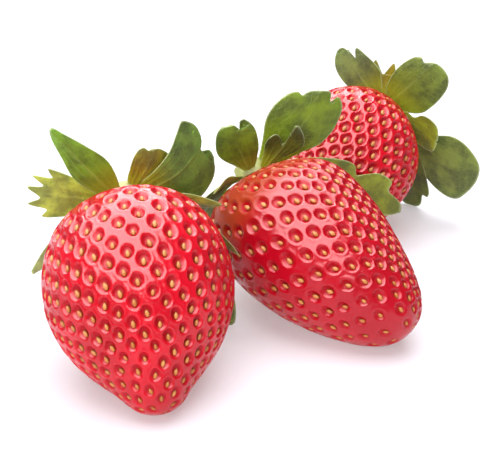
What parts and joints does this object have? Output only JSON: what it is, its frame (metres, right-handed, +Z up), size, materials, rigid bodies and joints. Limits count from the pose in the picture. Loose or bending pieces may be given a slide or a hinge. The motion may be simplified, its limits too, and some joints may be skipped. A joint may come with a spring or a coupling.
{
  "type": "strawberries",
  "caption": "Ripe strawberries lying close together on their sides, each a tapering red fruit with a crown of green sepals, or calyx, at its broad end.",
  "frame": {"origin": "on the resting surface, under the middle of the bounding box of the whole group", "axes": "+Z up. +Y runs along the group, from the front berry towards the back one. +X is to the right, seen with the front berry nearest"},
  "size_m": [0.0988, 0.1152, 0.0477],
  "materials": {
    "flesh": "gloss",
    "leaf": "matte",
    "crown": "matte"
  },
  "bodies": {
    "root": {"front_berry_fruit": "flesh", "front_berry_crown": "crown", "front_berry_leaf_1": "leaf", "front_berry_leaf_2": "leaf", "front_berry_leaf_3": "leaf", "front_berry_leaf_4": "leaf", "front_berry_leaf_5": "leaf", "front_berry_leaf_6": "leaf", "front_berry_leaf_7": "leaf", "front_berry_leaf_8": "leaf", "front_berry_leaf_9": "leaf", "front_berry_leaf_10": "leaf", "middle_berry_fruit": "flesh", "middle_berry_crown": "crown", "middle_berry_leaf_1": "leaf", "middle_berry_leaf_2": "leaf", "middle_berry_leaf_3": "leaf", "middle_berry_leaf_4": "leaf", "middle_berry_leaf_5": "leaf", "middle_berry_leaf_6": "leaf", "middle_berry_leaf_7": "leaf", "middle_berry_leaf_8": "leaf", "middle_berry_leaf_9": "leaf", "back_berry_fruit": "flesh", "back_berry_crown": "crown", "back_berry_leaf_1": "leaf", "back_berry_leaf_2": "leaf", "back_berry_leaf_3": "leaf", "back_berry_leaf_4": "leaf", "back_berry_leaf_5": "leaf", "back_berry_leaf_6": "leaf", "back_berry_leaf_7": "leaf", "back_berry_leaf_8": "leaf", "back_berry_leaf_9": "leaf"}
  },
  "joints": []
}
